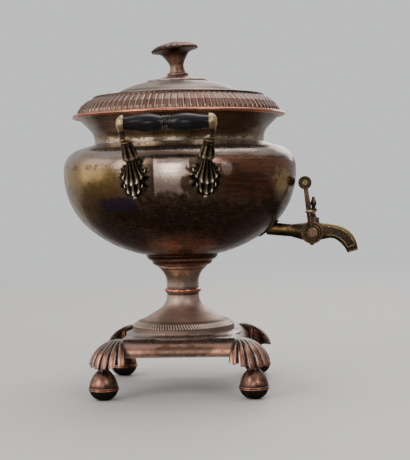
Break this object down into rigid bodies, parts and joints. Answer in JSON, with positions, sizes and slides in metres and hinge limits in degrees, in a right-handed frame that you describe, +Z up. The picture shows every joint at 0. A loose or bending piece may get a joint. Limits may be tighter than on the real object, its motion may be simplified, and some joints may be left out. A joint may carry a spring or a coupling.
{
  "type": "samovar",
  "caption": "Footed tea urn with a squat bowl on a waisted pedestal and square plinth, side handles, a lever tap, a lift-off lid and an iron heater inside.",
  "frame": {"origin": "on the floor, in the middle between the four feet, which is also on the bowl's axis", "axes": "+Z up along the bowl's axis, +X along the tap towards the spout, and +Y towards the far handle"},
  "size_m": [0.3198, 0.302, 0.3798],
  "materials": {
    "silvered_copper": "old silver plate over copper, tarnished and polished in patches",
    "bare_copper": "worn copper, semi-gloss",
    "dark_bronze": "dark patina, worn to copper at the edges",
    "tap_brass": "dark brass, worn bright at the edges",
    "handle_brass": "silvered brass, worn to yellow",
    "ebony": "polished",
    "wrought_iron": "plain, dark"
  },
  "bodies": {
    "urn": {"lower_bowl": "silvered_copper", "shoulder": "silvered_copper", "neck": "silvered_copper", "rim_wire": "bare_copper", "gadrooned_band": "silvered_copper", "heater_socket": "bare_copper", "heater_iron": "wrought_iron", "bowl_boss": "bare_copper", "plinth": "silvered_copper", "pedestal_foot": "silvered_copper", "pedestal_bead": "bare_copper", "pedestal_neck": "silvered_copper", "pedestal_cup": "silvered_copper", "tie_rod": "wrought_iron", "tie_washer": "wrought_iron", "tie_nut": "wrought_iron", "foot_front_right": "dark_bronze", "foot_back_right": "dark_bronze", "foot_back_left": "dark_bronze", "foot_front_left": "dark_bronze", "corner_shell_front_right": "silvered_copper", "corner_shell_back_right": "silvered_copper", "corner_shell_back_left": "silvered_copper", "corner_shell_front_left": "silvered_copper", "tap_body": "tap_brass", "tap_flange": "tap_brass", "tap_saddle": "tap_brass", "tap_lock_nut": "tap_brass", "tap_finial": "tap_brass", "near_grip": "ebony", "near_grip_rod": "handle_brass", "near_arm_right": "handle_brass", "near_arm_left": "handle_brass", "near_leaf_right": "handle_brass", "near_leaf_left": "handle_brass", "near_handle_nuts": "handle_brass", "far_grip": "ebony", "far_grip_rod": "handle_brass", "far_arm_right": "handle_brass", "far_arm_left": "handle_brass", "far_leaf_right": "handle_brass", "far_leaf_left": "handle_brass", "far_handle_nuts": "handle_brass"},
    "lid": {"lid": "silvered_copper", "lid_bezel": "bare_copper", "knob_plate": "silvered_copper", "knob": "silvered_copper", "knob_nut": "tap_brass"},
    "tap_key": {"tap_plug": "tap_brass", "plug_washer": "tap_brass", "plug_nut": "tap_brass", "tap_lever": "tap_brass", "lever_screw": "tap_brass", "lever_grip": "ebony", "lever_rod": "tap_brass"},
    "heater_cover": {"heater_cover": "bare_copper"}
  },
  "joints": [
    {"name": "lid_lift", "type": "slide", "parent": "urn", "child": "lid", "axis": [0, 0, 1], "range_m": [0, 0.09]},
    {"name": "tap_turn", "type": "hinge", "parent": "urn", "child": "tap_key", "pos_m": [0.143, 0, 0.168], "axis": [0, 1, 0], "range_deg": [0, 90]},
    {"name": "heater_cover_lift", "type": "slide", "parent": "urn", "child": "heater_cover", "axis": [0, 0, 1], "range_m": [0, 0.045]}
  ]
}
